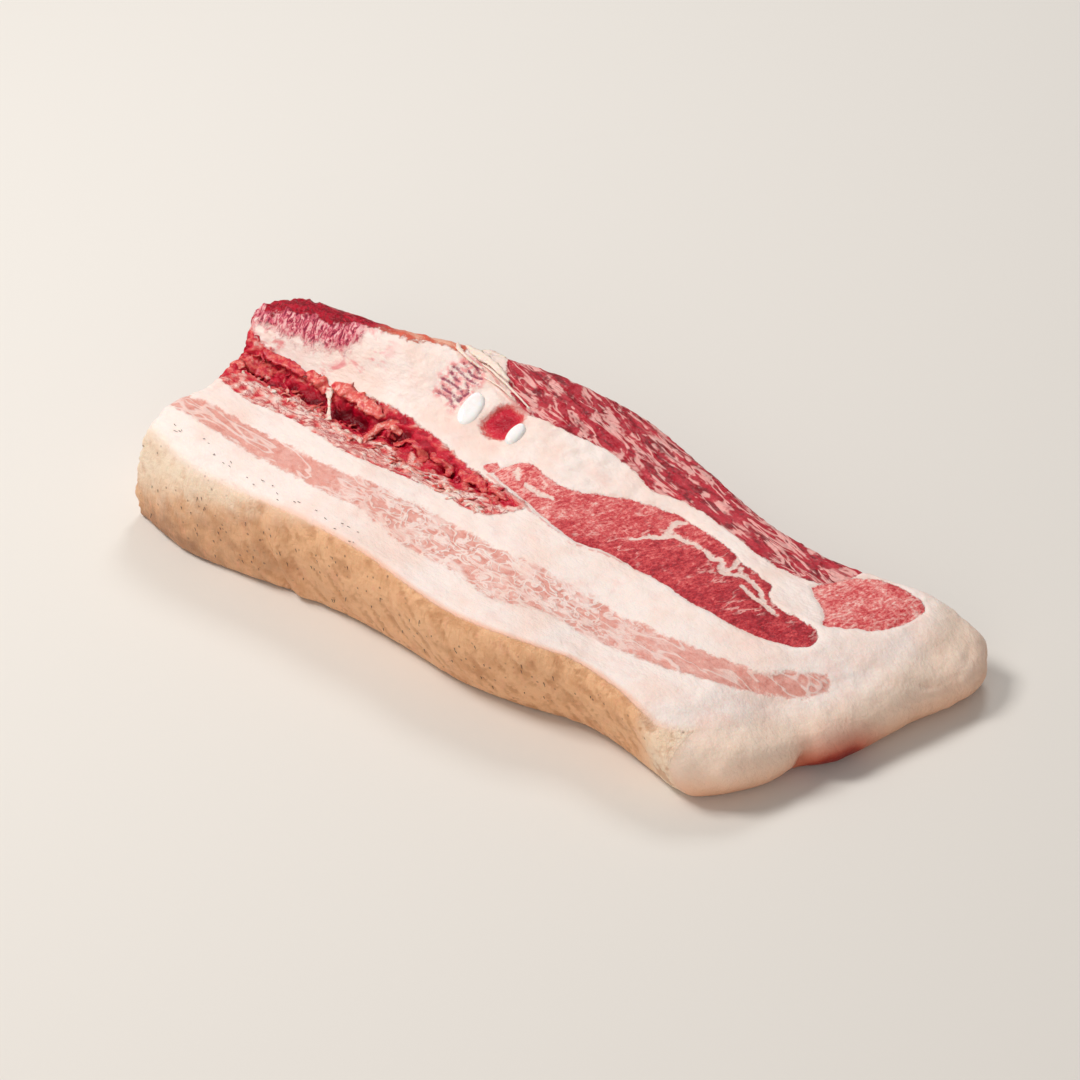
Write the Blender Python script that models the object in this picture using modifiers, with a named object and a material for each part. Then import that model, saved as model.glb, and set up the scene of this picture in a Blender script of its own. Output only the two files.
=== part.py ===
# A thick strip of raw pork belly, lying on one of its two cut faces: rind along the
# front, layers of fat and lean behind it, a raised muscle at the back left corner and a
# rounded end of fat at the right. Two rib cartilages run through it from face to face.
import math

import bmesh
import bpy
from mathutils import Vector

MM = 0.001

# Driving sizes, in millimetres. Plan places are measured along the strip (X) and from
# the rind to the rib side (Y), from the front left corner of the top face.
THICK_LEFT = 24.2
THICK_RIGHT = 15.8
TAPER_LENGTH = 145.0
TOP_ROUND = {"front": 1.5, "back": 2.0, "left": 0.6, "right": 2.4}
FOOT_ROUND = {"front": 0.9, "back": 1.2, "left": 0.6, "right": 1.2}
EDGE_SHARPNESS = 8

# Outline of the top face, one curve for each side.
FRONT_EDGE = [(-8, 0.2), (0, 0), (17, -2.3), (40, 0.9), (62, 2.0), (86, 1.2), (101, 4.2), (115, 9.0),
              (139, 7.3), (148, 8.0)]
BACK_EDGE = [(-14, 46), (-6, 49), (20, 56), (34, 63), (47, 69.5), (60, 74), (74, 77.2), (92, 75),
             (112, 71.5), (134, 74), (149, 78.5), (166, 81)]
LEFT_EDGE = [(-5, 0), (0, 0), (10, -1.5), (18, -0.6), (25, -2.8), (31, -5.0), (35, -7.0), (41, -10.6),
             (46, -9.8), (50, -6)]
RIGHT_EDGE = [(6, 137), (9, 139.5), (13, 143.5), (18, 147), (25, 149.5), (31, 150), (36, 153.5),
              (44, 156), (56, 157.5), (68, 160.5), (75, 160.5), (81, 156)]
CORNER_X = {"front_left": 0.0, "front_right": 138.5, "back_left": -6.0, "back_right": 157.0}

# How the sides leave the upright: the rind leans out at its left and in at its right.
RIND_LEAN_LEFT = -2.6
RIND_LEAN_RIGHT = 3.8
RIND_LEAN_SPAN = 85.0
RIND_BELLY = 0.9
LEFT_FOOT_X = -3.2
RIGHT_BELLY = 4.0
RIGHT_FOOT = 1.8
BACK_BELLY = 1.6
BACK_UNDERCUT = 1.5

# The muscle that stands proud at the back left, and the tear in front of it.
RIDGE_HEIGHT = 8.0
RIDGE_LEVEL_TO = 26.0
RIDGE_END_FALL = 0.5
RIDGE_END_LENGTH = 9.0
RIDGE_FADE = 78.0
RIDGE_FRONT_LEFT = 34.0
RIDGE_FRONT_SHIFT = 6.0
RIDGE_FRONT_SHIFT_LENGTH = 30.0
RIDGE_CREST_IN = 5.0
TEAR_DEPTH = 3.0
TEAR_HALF_WIDTH = 4.6
TEAR_FROM = -8.0
TEAR_TO = 74.0
TEAR_Y_LEFT = 33.0
TEAR_Y_RIGHT = 35.0
TEAR_SWAY = 0.8
TEAR_SWAY_LENGTH = 9.0
TEAR_START_STEEPNESS = 8.0
TEAR_STOP_STEEPNESS = 2.5
END_FALL = 4.6
END_FALL_LENGTH = 17.0
RIND_EDGE_FALL = 1.5
RIND_EDGE_WIDTH = 7.0
RIND_EDGE_FROM_Y = -2.0
RIND_EDGE_FULL_TO = 30.0
RIND_EDGE_FADE = 60.0
WAVE_HEIGHT = 0.35
WAVE_SPANS = {"along": 7.3, "along_slant": 11.0, "across": 5.1, "across_slant": 17.0}

# Rib cartilages: long and short diameter, plan centre and the turn of the long axis.
CARTILAGES = {
    "cartilage_large": {"long": 8.8, "short": 5.1, "at": (46.4, 50.2), "turn": 104.0},
    "cartilage_small": {"long": 6.1, "short": 3.5, "at": (58.0, 51.6), "turn": 96.0},
}
CARTILAGE_PROUD = 0.7
CARTILAGE_GAP = 0.3
CARTILAGE_SIDES = 24
CARTILAGE_ROUND = 0.9
CARTILAGE_ROUND_STEPS = 2
CUTTER_OVERRUN = 6.0

CELLS = {"x": 58, "y": 26, "z": 7}
CORNER_ROUNDS = 3
SHARP_ANGLE = 50
LEVEL_DIGITS = 5


def smooth(value):
    # 0 to 1, level at both ends
    value = min(1.0, max(0.0, value))
    return value * value * (3.0 - 2.0 * value)


def through(knots, at):
    # A smooth curve through hand-set knots, with the tangents of their neighbours
    last = len(knots) - 2
    index = 0
    while index < last and at > knots[index + 1][0]:
        index += 1
    before = knots[max(index - 1, 0)]
    start = knots[index]
    end = knots[index + 1]
    after = knots[min(index + 2, last + 1)]
    span = end[0] - start[0]
    slope_in = (end[1] - before[1]) / (end[0] - before[0]) * span
    slope_out = (after[1] - start[1]) / (after[0] - start[0]) * span
    t = min(1.0, max(0.0, (at - start[0]) / span))
    return (start[1] * (1 + 2 * t) * (1 - t) ** 2 + slope_in * t * (1 - t) ** 2
            + end[1] * t * t * (3 - 2 * t) + slope_out * t * t * (t - 1))


def thickness(x):
    share = min(1.15, max(-0.05, x / TAPER_LENGTH))
    return THICK_LEFT + (THICK_RIGHT - THICK_LEFT) * share


def ridge(x, y):
    height = RIDGE_HEIGHT * (1.0 - smooth((x - RIDGE_LEVEL_TO) / RIDGE_FADE))
    height *= 1.0 - RIDGE_END_FALL * smooth(-x / RIDGE_END_LENGTH)
    foot = RIDGE_FRONT_LEFT + RIDGE_FRONT_SHIFT * smooth(x / RIDGE_FRONT_SHIFT_LENGTH)
    crest = through(BACK_EDGE, x) - RIDGE_CREST_IN
    return height * smooth((y - foot) / (crest - foot))


def tear(x, y):
    length = TEAR_TO - TEAR_FROM
    share = min(1.0, max(0.0, (x - TEAR_FROM) / length))
    middle = mix(TEAR_Y_LEFT, TEAR_Y_RIGHT, share) + TEAR_SWAY * math.sin(x / TEAR_SWAY_LENGTH)
    depth = TEAR_DEPTH * smooth(share * TEAR_START_STEEPNESS) * smooth((1.0 - share) * TEAR_STOP_STEEPNESS)
    return depth * math.exp(-((y - middle) / TEAR_HALF_WIDTH) ** 2)


def end_fall(x, y):
    # The top face rolls down into the rounded right end
    into = (x - through(RIGHT_EDGE, y) + END_FALL_LENGTH) / END_FALL_LENGTH
    return END_FALL * max(0.0, into) ** 2


def rind_edge_fall(x, y):
    along = 1.0 - smooth((x - RIND_EDGE_FULL_TO) / RIND_EDGE_FADE)
    return RIND_EDGE_FALL * along * (1.0 - smooth((y - RIND_EDGE_FROM_Y) / RIND_EDGE_WIDTH))


def waves(x, y):
    along = math.sin(x / WAVE_SPANS["along"] + y / WAVE_SPANS["along_slant"])
    across = math.sin(y / WAVE_SPANS["across"] - x / WAVE_SPANS["across_slant"])
    return WAVE_HEIGHT * (along + across)


def top_height(x, y):
    raised = ridge(x, y) + waves(x, y)
    return thickness(x) + raised - tear(x, y) - end_fall(x, y) - rind_edge_fall(x, y)


def edge_inset(side, level):
    # Rounds the edges: nothing over most of the height, and the whole radius at the two faces
    radius = TOP_ROUND[side] if level > 0.5 else FOOT_ROUND[side]
    return radius * abs(2.0 * level - 1.0) ** EDGE_SHARPNESS


def belly(level):
    return 4.0 * level * (1.0 - level)


def front_y(x, level):
    lean = mix(RIND_LEAN_LEFT, RIND_LEAN_RIGHT, smooth(x / RIND_LEAN_SPAN))
    side = through(FRONT_EDGE, x) + lean * (1.0 - level) - RIND_BELLY * belly(level)
    return side + edge_inset("front", level)


def back_y(x, level):
    out = BACK_BELLY * belly(level) - BACK_UNDERCUT * (1.0 - level)
    return through(BACK_EDGE, x) + out - edge_inset("back", level)


def left_x(y, level):
    return through(LEFT_EDGE, y) * level + LEFT_FOOT_X * (1.0 - level) + edge_inset("left", level)


def right_x(y, level):
    out = RIGHT_BELLY * belly(level) + RIGHT_FOOT * (1.0 - level)
    return through(RIGHT_EDGE, y) + out - edge_inset("right", level)


def corners(level):
    # The four plan corners at a level, each on both of the sides that meet there
    found = {}
    for name, x in CORNER_X.items():
        side_y = front_y if name.startswith("front") else back_y
        side_x = left_x if name.endswith("left") else right_x
        y = side_y(x, level)
        for _ in range(CORNER_ROUNDS):
            x = side_x(y, level)
            y = side_y(x, level)
        found[name] = (x, y)
    return found


def mix(a, b, share):
    return a + (b - a) * share


def plan_point(s, t, level, corner):
    # Blends the four side curves of one level over its whole face
    x00, y00 = corner["front_left"]
    x10, y10 = corner["front_right"]
    x01, y01 = corner["back_left"]
    x11, y11 = corner["back_right"]
    front = mix(x00, x10, s)
    back = mix(x01, x11, s)
    left = mix(y00, y01, t)
    right = mix(y10, y11, t)
    x = mix(front, back, t) + mix(left_x(left, level), right_x(right, level), s)
    y = mix(front_y(front, level), back_y(back, level), t) + mix(left, right, s)
    x -= mix(mix(x00, x10, s), mix(x01, x11, s), t)
    y -= mix(mix(y00, y10, s), mix(y01, y11, s), t)
    return x, y


def principled(name, colour, roughness):
    material = bpy.data.materials.new(name)
    material.use_nodes = True
    shader = material.node_tree.nodes["Principled BSDF"]
    shader.inputs["Base Color"].default_value = (*colour, 1.0)
    shader.inputs["Roughness"].default_value = roughness
    shader.inputs["Metallic"].default_value = 0.0
    return material


def object_from(mesh_data, name, collection):
    mesh = bpy.data.meshes.new(name)
    mesh_data.to_mesh(mesh)
    mesh_data.free()
    new_object = bpy.data.objects.new(name, mesh)
    collection.objects.link(new_object)
    return new_object


def gridded_block(cells):
    # A unit cube whose faces are cut into a grid, standing on z = 0
    block = bmesh.new()
    bmesh.ops.create_cube(block, size=1.0)
    for axis, count in enumerate((cells["x"], cells["y"], cells["z"])):
        along = []
        for edge in block.edges:
            step = edge.verts[1].co - edge.verts[0].co
            if abs(step[axis]) > 0.5:
                along.append(edge)
        bmesh.ops.subdivide_edges(block, edges=along, cuts=count - 1, use_grid_fill=True)
    for vert in block.verts:
        vert.co += Vector((0.5, 0.5, 0.5))
    return block


def make_meat(collection):
    block = gridded_block(CELLS)
    corner_at = {1.0: corners(1.0)}
    for vert in block.verts:
        s, t, rise = vert.co
        level = 0.5 - 0.5 * math.cos(math.pi * rise)
        key = round(level, LEVEL_DIGITS)
        if key not in corner_at:
            corner_at[key] = corners(level)
        x, y = plan_point(s, t, level, corner_at[key])
        top_x, top_y = plan_point(s, t, 1.0, corner_at[1.0])
        vert.co = (x * MM, y * MM, level * top_height(top_x, top_y) * MM)
    bmesh.ops.recalc_face_normals(block, faces=block.faces)
    return object_from(block, "belly_meat", collection)


def make_cartilage(name, size, grow, overrun, collection):
    # An oval rod from the underside to the top face, its head following that face's slope
    rod = bmesh.new()
    bmesh.ops.create_cone(rod, cap_ends=True, segments=CARTILAGE_SIDES, radius1=0.5, radius2=0.5, depth=1.0)
    turn = math.radians(size["turn"])
    centre_x, centre_y = size["at"]
    for vert in rod.verts:
        along = vert.co.x * (size["long"] + 2.0 * grow)
        across = vert.co.y * (size["short"] + 2.0 * grow)
        x = centre_x + along * math.cos(turn) - across * math.sin(turn)
        y = centre_y + along * math.sin(turn) + across * math.cos(turn)
        head = top_height(x, y) + CARTILAGE_PROUD + overrun
        z = head if vert.co.z > 0.0 else -overrun
        vert.co = (x * MM, y * MM, z * MM)
    return object_from(rod, name, collection)


def round_head(rod):
    bevel = rod.modifiers.new("rounded head", "BEVEL")
    bevel.width = CARTILAGE_ROUND * MM
    bevel.segments = CARTILAGE_ROUND_STEPS
    bevel.limit_method = "ANGLE"
    bevel.angle_limit = math.radians(SHARP_ANGLE)


def cut(target, cutter):
    boolean = target.modifiers.new("hole for " + cutter.name, "BOOLEAN")
    boolean.operation = "DIFFERENCE"
    boolean.solver = "EXACT"
    boolean.object = cutter


def centre_on_origin(made):
    # The origin is under the middle of the strip's box
    points = [v.co for v in made[0].data.vertices]
    middle_x = (min(p.x for p in points) + max(p.x for p in points)) / 2.0
    middle_y = (min(p.y for p in points) + max(p.y for p in points)) / 2.0
    for piece in made:
        for vertex in piece.data.vertices:
            vertex.co.x -= middle_x
            vertex.co.y -= middle_y


def new_collection(name):
    collection = bpy.data.collections.new(name)
    bpy.context.scene.collection.children.link(collection)
    return collection


def main():
    for old in list(bpy.data.objects):
        bpy.data.objects.remove(old, do_unlink=True)
    parts = new_collection("pork_belly_slab")
    cutters = new_collection("cutters")

    meat = make_meat(parts)
    meat.data.materials.append(principled("raw pork belly", (0.82, 0.55, 0.50), 0.45))
    white = principled("rib cartilage", (0.90, 0.87, 0.84), 0.25)
    made = [meat]
    for name, size in CARTILAGES.items():
        rod = make_cartilage(name, size, 0.0, 0.0, parts)
        rod.data.materials.append(white)
        round_head(rod)
        cutter = make_cartilage(name + "_cutter", size, CARTILAGE_GAP, CUTTER_OVERRUN, cutters)
        cutter.hide_render = True
        cutter.display_type = "WIRE"
        cut(meat, cutter)
        made += [rod, cutter]
    centre_on_origin(made)
    for piece in made:
        piece.data.shade_smooth()
        piece.data.set_sharp_from_angle(angle=math.radians(SHARP_ANGLE))


main()
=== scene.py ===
import math
import random

import bmesh
import bpy
import numpy as np
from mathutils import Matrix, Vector, noise
from mathutils.bvhtree import BVHTree


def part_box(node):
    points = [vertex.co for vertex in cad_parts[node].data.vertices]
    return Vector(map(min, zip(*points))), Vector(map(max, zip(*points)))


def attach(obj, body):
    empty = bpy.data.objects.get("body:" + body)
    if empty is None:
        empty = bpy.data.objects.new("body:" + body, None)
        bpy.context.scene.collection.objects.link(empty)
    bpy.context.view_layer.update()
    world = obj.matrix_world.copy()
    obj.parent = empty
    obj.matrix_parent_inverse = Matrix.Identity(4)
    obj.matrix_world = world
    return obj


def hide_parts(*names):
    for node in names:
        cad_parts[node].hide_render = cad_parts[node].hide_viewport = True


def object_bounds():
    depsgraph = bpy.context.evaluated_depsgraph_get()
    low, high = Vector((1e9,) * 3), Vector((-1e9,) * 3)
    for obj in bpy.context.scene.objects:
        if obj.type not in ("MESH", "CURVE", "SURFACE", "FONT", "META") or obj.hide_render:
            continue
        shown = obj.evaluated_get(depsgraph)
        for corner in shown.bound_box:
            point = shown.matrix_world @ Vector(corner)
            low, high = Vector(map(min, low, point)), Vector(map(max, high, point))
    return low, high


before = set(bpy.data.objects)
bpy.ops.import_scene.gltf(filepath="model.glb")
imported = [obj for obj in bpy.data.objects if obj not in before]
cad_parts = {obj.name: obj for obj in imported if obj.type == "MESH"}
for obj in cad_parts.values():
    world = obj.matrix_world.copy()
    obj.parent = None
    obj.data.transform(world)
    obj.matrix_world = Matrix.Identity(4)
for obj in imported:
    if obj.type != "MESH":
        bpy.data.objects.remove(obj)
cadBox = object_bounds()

mm = 0.001
outside = 60.0  # mm, well clear of the strip, where rays start

# Plan places are in mm from the corner where the rind meets the cut end: X runs along
# the strip, Y from the rind to the ribs, Z up from the table.
cornerInBox = (10.18, 4.48)
corner = Vector((cadBox[0].x + cornerInBox[0] * mm, cadBox[0].y + cornerInBox[1] * mm, cadBox[0].z))


def toPlan(coords):
    return (coords - np.array(corner)) / mm


def toWorld(x, y, z):
    return corner + Vector((x, y, z)) * mm


def smooth(low, high, value):
    share = np.clip((value - low) / (high - low), 0.0, 1.0)
    return share * share * (3.0 - 2.0 * share)


def sample(coords, size, kind, seed=0.0):
    # one noise value a point, its features about size mm across
    shifted = coords / size + seed
    return np.array([kind(point) for point in shifted.tolist()])


def softNoise(point):
    return noise.noise(point)


def roughNoise(point):
    return noise.fractal(point, 0.9, 2.0, 4)


def crestNoise(point):
    return noise.ridged_multi_fractal(point, 0.9, 2.1, 4, 1.0, 2.0) - 1.2


def curveThrough(knots, steps, closed):
    # Catmull-Rom through given knots
    points = np.array(knots, float)
    count = len(points)
    found = []
    for index in range(count if closed else count - 1):
        if closed:
            around = [points[(index + step) % count] for step in (-1, 0, 1, 2)]
        else:
            around = [points[min(max(index + step, 0), count - 1)] for step in (-1, 0, 1, 2)]
        a, b, c, d = around
        for t in np.arange(steps) / steps:
            found.append(0.5 * (2 * b + (c - a) * t + (2 * a - 5 * b + 4 * c - d) * t ** 2
                                + (3 * b - a - 3 * c + d) * t ** 3))
    if not closed:
        found.append(points[-1])
    return np.array(found)


def distanceTo(places, line):
    # shortest distance in mm from each place to a line of points
    nearest = np.full(len(places), 1e9)
    for start, end in zip(line[:-1], line[1:]):
        along = end - start
        share = np.clip(((places - start) @ along) / max(along @ along, 1e-9), 0.0, 1.0)
        gap = places - start - share[:, None] * along
        nearest = np.minimum(nearest, np.hypot(gap[:, 0], gap[:, 1]))
    return nearest


def depthIn(places, knots, steps=4):
    # signed distance in mm into a closed outline, positive inside
    line = curveThrough(knots, steps, True)
    line = np.vstack([line, line[:1]])
    inside = np.zeros(len(places), bool)
    x, y = places[:, 0], places[:, 1]
    for (x0, y0), (x1, y1) in zip(line[:-1], line[1:]):
        crosses = (y0 > y) != (y1 > y)
        if abs(y1 - y0) > 1e-9:
            inside ^= crosses & (x < (x1 - x0) * (y - y0) / (y1 - y0) + x0)
    gap = distanceTo(places, line)
    return np.where(inside, gap, -gap)


# Where each layer of lean lies in the cut face, in mm of the plan.
layers = dict(
    # pale streaky lean between the two outer layers of fat
    belly=[(-16, 7), (0, 8), (10, 9), (20, 9.5), (30, 11), (40, 12), (50, 13.5), (60, 13), (70, 13), (80, 14),
           (90, 13), (100, 17), (110, 19), (120, 21), (130, 24), (140, 29), (145, 34), (150, 39), (149, 44),
           (145, 40), (140, 35), (130, 31), (120, 28.5), (110, 27), (100, 27), (90, 25.5), (80, 23), (65, 22.5),
           (50, 20.5), (40, 17.5), (30, 16.5), (20, 15.5), (10, 14), (0, 12.5), (-16, 11.5)],
    # clean cut rose muscle
    middle=[(61.5, 41.5), (62.5, 45), (64.5, 47.5), (68, 48), (73, 47.5), (78, 49), (81, 51.5), (85, 53.5),
            (90, 56.5), (94, 58), (100, 58.8), (108, 58), (114, 57), (120, 57), (124.5, 56), (128, 52), (136, 52),
            (140, 51.8), (141.8, 49), (140, 45.5), (135, 42.5), (130, 40.8), (120, 40.2), (110, 40.4), (100, 40),
            (93, 38.5), (88, 37), (78, 38), (68, 39.5)],
    nub=[(58, 42), (60, 44), (61.5, 43), (60.5, 41.3)],
    # small muscle by the rounded end
    tip=[(130, 63), (131, 61), (134, 59), (138, 57), (139.5, 54.5), (142, 56), (145, 58.5), (148, 62), (150, 68),
         (149, 74), (140.5, 73.5), (134, 69)],
    # long muscle on the rib side, which also makes the back of the strip
    back=[(41, 67), (44, 63), (49, 60), (54, 57.5), (58, 57), (63, 58.5), (69, 60), (78, 62), (84, 61), (90, 60.5),
          (94, 62), (103, 62.5), (111, 61.5), (121, 61), (127, 62.5), (132, 66), (134.5, 70.5), (134, 76),
          (126, 84), (80, 95), (30, 95), (33, 78)],
    # crimson cap over the raised muscle, down its back
    cap=[(-20, 44), (-12, 45), (-9.4, 43.6), (-7, 41.8), (-4, 41.2), (-2, 43), (3, 44.6), (8, 45.8), (11.6, 46.8),
         (13.4, 49.6), (18, 50.8), (22, 52.2), (26, 53.4), (30, 56.2), (34, 58), (36, 61), (38, 68), (38, 74),
         (34, 90), (-20, 90)],
    # red band that wraps the end of the raised muscle under its core of fat
    wrap=[(-20, 34.6), (-10, 34.8), (-4, 34.6), (2, 35), (8, 35.6), (9, 36.8), (3, 36.6), (-4, 36.4), (-8, 37.4),
          (-9.6, 40), (-20, 41.6)],
    # torn groove with the mottled slope below it
    torn=[(-20, 27), (-8, 27), (-2, 27), (4, 28), (9, 31), (16, 32.5), (22, 31.5), (28, 29.5), (33, 32), (40, 34.4),
          (54, 34.8), (64, 35), (71, 35), (72, 37), (65, 38.5), (56, 40), (46, 41), (35, 41), (27, 40), (20, 39),
          (17, 37), (14, 38.2), (8, 37), (0, 35.8), (-6, 35.4), (-20, 36)],
    slope=[(-20, 22), (-3, 22), (4, 21), (12, 22), (20, 24), (27, 24), (34, 23), (41, 24), (47, 26), (53, 28),
           (60, 28.5), (67, 28.5), (71, 30), (73.5, 34), (73, 38), (60, 38), (44, 36), (34, 34), (20, 33), (-2, 33),
           (-20, 33)],
    # purple pink fibres under the crimson cap
    fibres=[(-20, 38.6), (-8, 38.8), (-3, 39), (3, 39.8), (8, 41), (12, 42.8), (15.5, 44.4), (17, 47), (15, 51),
            (10, 51), (-4, 48), (-20, 47)],
    # small wet hollow between the two cartilages
    pocket=[(50, 50), (51.8, 48.6), (54.5, 48.2), (57.2, 49.4), (58, 52.5), (57, 56.2), (53.8, 57), (51, 56),
            (50, 53)],
)

# white lines of fat through the rose muscle
marbling = [[(95, 46.5), (96.5, 49), (98.5, 51), (99.5, 53), (102, 54), (106, 54.4), (109, 54), (111, 53),
             (113, 53.5), (115, 51), (117.5, 52.5), (118.5, 54), (122, 54), (124.5, 53), (127, 50.5)],
            [(99.5, 53), (98.5, 56), (99.5, 58)],
            [(115, 51.5), (115.8, 54.5), (114.8, 58.5)],
            [(118.5, 54), (117.4, 55.4)],
            [(121, 51), (127.5, 50), (131.5, 49.4)],
            [(69, 43), (72, 42.4), (76, 43.4)],
            [(64.5, 45), (66.5, 42.8)]]

# thin pale skins between muscle and fat
skins = [[(61, 40.2), (68, 38.2), (78, 36.6), (88, 35.8), (94, 37.4), (100, 39)],
         [(25, 25.2), (33, 24.2), (40, 25), (46, 27), (52, 29)],
         [(42, 59.6), (50, 58), (57.5, 56.6)]]

# short cuts beside the large cartilage, across the strip
cuts = [[(38.4, 57.8), (40, 58), (41.6, 57.6)], [(38, 56.6), (41, 56.2), (42.8, 56.6)], [(36.8, 54.6), (43, 55.2)],
        [(37.4, 53.6), (40, 53.2)], [(36.6, 51.8), (40, 52.2), (43.4, 51.6)], [(38.2, 50.6), (43, 50.2)],
        [(37.6, 49), (40.4, 49.4), (42.8, 48.6)], [(41.6, 54), (43.4, 52.8), (43.2, 50.8)]]

deepHoles = [(2, 31, 4.6, 1.2), (13.5, 34.4, 4.4, 1.5), (26.5, 35.4, 5.4, 2.4), (38.6, 36.4, 2.8, 1.7),
             (46, 37, 2.6, 1.2), (53.4, 36.8, 2.6, 1.4), (63, 36.2, 3.0, 0.9)]  # x, y, half length, extra depth


# half widths of those lines in mm, and how far the pale streak reaches past its outline
halfWidths = dict(marble=0.6, skin=0.3, cut=0.26, bellyMore=0.6)


def layerDepths(places):
    # signed depth in mm into every layer, and into every kind of line
    def toLines(lines, steps):
        return np.minimum.reduce([distanceTo(places, curveThrough(line, steps, False)) for line in lines])

    depth = {name: depthIn(places, knots) for name, knots in layers.items()}
    depth["marble"] = halfWidths["marble"] - toLines(marbling, 3)
    depth["skin"] = halfWidths["skin"] - toLines(skins, 3)
    depth["cut"] = halfWidths["cut"] - toLines(cuts, 2)
    depth["belly"] += halfWidths["bellyMore"]
    depth["rose"] = np.maximum.reduce([depth["middle"], depth["tip"], depth["nub"]])
    depth["wet"] = np.maximum.reduce([depth["torn"], depth["slope"], depth["wrap"]])
    return depth


# in mm, apart from easing, the rounds of smoothing, and relief, which scales every height in bulk below;
# the coarse faces are halved out to fineMargin past the lean, and round the cartilages
meatShape = dict(voxel=0.85, easing=4, relief=1.0, fineMargin=1.6, fineSpot=(42.0, 54.0), fineReach=14.0,
                 wander=0.9, wanderFine=0.5, plugWider=1.3, plugLower=0.6)

# the rind: how thick it is drawn, where it ends along X, how far in Y it can lie, and the height of its
# upper rim, which drops along the strip
rindShape = dict(thick=1.7, ends=141.0, within=22.0, rim=19.0, rimDrop=6.0, rimLength=145.0)


def newPiece(name, mesh, material):
    piece = bpy.data.objects.new(name, mesh)
    bpy.context.scene.collection.objects.link(piece)
    mesh.materials.clear()
    mesh.materials.append(material)
    mesh.shade_smooth()
    return piece


def arrayOf(items, name, width, kind=float):
    values = np.empty(len(items) * width, kind)
    items.foreach_get(name, values)
    return values.reshape(-1, width)


def coordsOf(mesh):
    return arrayOf(mesh.vertices, "co", 3)


def normalsOf(mesh):
    return arrayOf(mesh.vertices, "normal", 3)


def edgesOf(mesh):
    return arrayOf(mesh.edges, "vertices", 2, np.int32)


def setCoords(mesh, coords):
    mesh.vertices.foreach_set("co", np.ascontiguousarray(coords, np.float32).ravel())
    mesh.update()


def keep(mesh, **fields):
    # stores one number a vertex, for the material to read
    for name, values in fields.items():
        attribute = mesh.attributes.new(name, "FLOAT", "POINT")
        attribute.data.foreach_set("value", np.ascontiguousarray(values, np.float32))


def ease(coords, edges, rounds, share=0.5):
    # pulls each vertex to the mean of its neighbours
    count = np.bincount(edges.ravel(), minlength=len(coords))[:, None]
    for _ in range(rounds):
        total = np.stack([np.bincount(edges[:, 0], coords[edges[:, 1], axis], len(coords))
                          + np.bincount(edges[:, 1], coords[edges[:, 0], axis], len(coords))
                          for axis in range(3)], 1)
        coords = coords + share * (total / count - coords)
    return coords


def insideBox(coords):
    # holds points a hair inside the box of the CAD
    return np.clip(coords, np.array(cadBox[0]) + 0.01 * mm, np.array(cadBox[1]) - 0.01 * mm)


def evenSkin(mesh, voxel):
    # the same solid as small faces of one size
    holder = bpy.data.objects.new("holder", mesh)
    bpy.context.scene.collection.objects.link(holder)
    remesh = holder.modifiers.new("even skin", "REMESH")
    remesh.mode = "VOXEL"
    remesh.voxel_size = voxel * mm
    made = bpy.data.meshes.new_from_object(holder.evaluated_get(bpy.context.evaluated_depsgraph_get()))
    bpy.data.objects.remove(holder, do_unlink=True)
    return made


def solidMeat():
    # the CAD solid with its cartilage holes plugged, so that the flesh closes round them
    whole = bmesh.new()
    whole.from_mesh(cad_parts["belly_meat"].data)
    for name in ("cartilage_large", "cartilage_small"):
        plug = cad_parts[name].data.copy()
        low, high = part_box(name)
        middle = (low + high) / 2
        for vertex in plug.vertices:
            vertex.co.x = middle.x + (vertex.co.x - middle.x) * meatShape["plugWider"]
            vertex.co.y = middle.y + (vertex.co.y - middle.y) * meatShape["plugWider"]
            if vertex.co.z > middle.z:
                vertex.co.z -= meatShape["plugLower"] * mm
        whole.from_mesh(plug)
        bpy.data.meshes.remove(plug)
    joined = bpy.data.meshes.new("joined")
    whole.to_mesh(joined)
    whole.free()
    mesh = evenSkin(joined, meatShape["voxel"])
    mesh.name = "raw_belly"
    return mesh


def halveFaces(mesh, chosen):
    # cuts each face whose corners are all chosen into four
    fine = bmesh.new()
    fine.from_mesh(mesh)
    fine.verts.ensure_lookup_table()
    faces = [face for face in fine.faces if all(chosen[vertex.index] for vertex in face.verts)]
    cut = {edge for face in faces for edge in face.edges}
    bmesh.ops.subdivide_edges(fine, edges=list(cut), cuts=1, use_grid_fill=True)
    fine.to_mesh(mesh)
    fine.free()
    mesh.update()


def rindDepth(tree, plan):
    # how far each point lies behind the rind's own face, in mm
    found = np.full(len(plan), 99.0)
    for index in np.nonzero(plan[:, 1] < rindShape["within"])[0]:
        x, y, z = plan[index]
        rim = rindShape["rim"] - rindShape["rimDrop"] * min(max(x / rindShape["rimLength"], 0.0), 1.0)
        start = toWorld(x, -outside, min(max(z, 0.6), rim))
        hit = tree.ray_cast(start, Vector((0, 1, 0)))[0]
        if hit is not None:
            found[index] = y - (hit.y - corner.y) / mm
    return found


def treeOf(coords, mesh):
    return BVHTree.FromPolygons([tuple(c) for c in coords], [p.vertices[:] for p in mesh.polygons])


# the end of the strip: where the flat top turns down into the rounded end
endLine = [(136, 6), (138.5, 14), (140.5, 20), (144, 27), (147, 34), (151.5, 44), (153, 55), (152.5, 66), (149, 80)]
endBeyond = [(175, 80), (175, 0)]

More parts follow.
